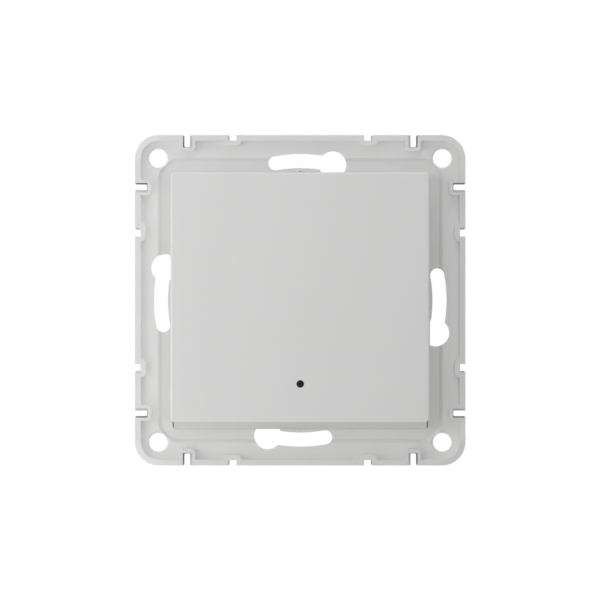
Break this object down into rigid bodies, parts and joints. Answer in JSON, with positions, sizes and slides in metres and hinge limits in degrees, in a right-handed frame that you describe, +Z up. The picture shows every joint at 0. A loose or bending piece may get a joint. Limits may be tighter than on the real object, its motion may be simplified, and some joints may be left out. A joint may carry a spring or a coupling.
{
  "type": "smart light switch insert",
  "caption": "Flush smart light switch insert: square mounting frame with keyhole slots, a hinged key with a light pinhole, and a housing with screw terminals behind it.",
  "frame": {"origin": "centre of the mounting frame on its rear face, which lies on the wall", "axes": "+Z up the wall, +X to the right seen from the room, +Y into the wall, so the key faces -Y"},
  "size_m": [0.071, 0.0381, 0.071],
  "materials": {
    "frame_plastic": "fine satin moulding",
    "key_plastic": "smooth satin moulding",
    "smoked_lens": "smoked, polished end",
    "cover_plastic": "plain moulding",
    "housing_plastic": "fine spark-eroded moulding",
    "zinc_steel": "zinc plated",
    "circuit_board": "solder mask",
    "black_plastic": "plain moulding",
    "led_resin": "clear resin",
    "tinned_steel": "tinned sheet",
    "relay_case": "plain moulding",
    "ferrite": "sintered ferrite",
    "capacitor_sleeve": "sleeved can",
    "film_case": "filled case",
    "fuse_case": "plain moulding",
    "varistor_coat": "dipped coating",
    "spring_steel": "drawn wire",
    "terminal_brass": "rolled brass"
  },
  "bodies": {
    "base": {"support_frame": "frame_plastic", "front_cover": "cover_plastic", "housing": "housing_plastic", "cover_screws": "zinc_steel", "control_board": "circuit_board", "power_board": "circuit_board", "board_header": "black_plastic", "tact_switch_body": "black_plastic", "status_led": "led_resin", "radio_board": "circuit_board", "radio_shield": "tinned_steel", "relay": "relay_case", "supply_transformer": "ferrite", "storage_capacitor": "capacitor_sleeve", "filter_capacitor": "film_case", "choke": "ferrite", "fuse": "fuse_case", "varistor": "varistor_coat", "return_spring_left": "spring_steel", "return_spring_right": "spring_steel", "terminal_bar_1": "terminal_brass", "terminal_bar_2": "terminal_brass", "terminal_bar_3": "terminal_brass"},
    "key": {"key": "key_plastic", "light_guide": "smoked_lens"},
    "plunger": {"tact_plunger": "black_plastic"},
    "screw_1": {"terminal_screw_1": "zinc_steel"},
    "cage_1": {"terminal_cage_1": "zinc_steel"},
    "screw_2": {"terminal_screw_2": "zinc_steel"},
    "cage_2": {"terminal_cage_2": "zinc_steel"},
    "screw_3": {"terminal_screw_3": "zinc_steel"},
    "cage_3": {"terminal_cage_3": "zinc_steel"}
  },
  "joints": [
    {"name": "key_press", "type": "hinge", "parent": "base", "child": "key", "pos_m": [0, -0.0049, 0.0195], "axis": [1, 0, 0], "range_deg": [0, 1.4], "stiffness_Nm_per_rad": 0.8, "springref_deg": -2.86, "deforming": ["return_spring_left", "return_spring_right"]},
    {"name": "plunger_push", "type": "slide", "parent": "base", "child": "plunger", "axis": [0, 1, 0], "range_m": [0, 0.00025]},
    {"name": "screw_1_turn", "type": "hinge", "parent": "base", "child": "screw_1", "pos_m": [-0.0084, 0.02, -0.01795], "axis": [0, -1, 0], "range_deg": [0, 2165]},
    {"name": "cage_1_lift", "type": "slide", "parent": "base", "child": "cage_1", "axis": [0, 1, 0], "range_m": [0, 0.0036]},
    {"name": "screw_2_turn", "type": "hinge", "parent": "base", "child": "screw_2", "pos_m": [0, 0.02, -0.01795], "axis": [0, -1, 0], "range_deg": [0, 2165]},
    {"name": "cage_2_lift", "type": "slide", "parent": "base", "child": "cage_2", "axis": [0, 1, 0], "range_m": [0, 0.0036]},
    {"name": "screw_3_turn", "type": "hinge", "parent": "base", "child": "screw_3", "pos_m": [0.0084, 0.02, -0.01795], "axis": [0, -1, 0], "range_deg": [0, 2165]},
    {"name": "cage_3_lift", "type": "slide", "parent": "base", "child": "cage_3", "axis": [0, 1, 0], "range_m": [0, 0.0036]}
  ],
  "couplings": [
    {"joint": "plunger_push", "follows": "key_press", "m_per_rad": 0.01},
    {"joint": "screw_1_turn", "follows": "cage_1_lift", "rad_per_m": 10472},
    {"joint": "screw_2_turn", "follows": "cage_2_lift", "rad_per_m": 10472},
    {"joint": "screw_3_turn", "follows": "cage_3_lift", "rad_per_m": 10472}
  ]
}
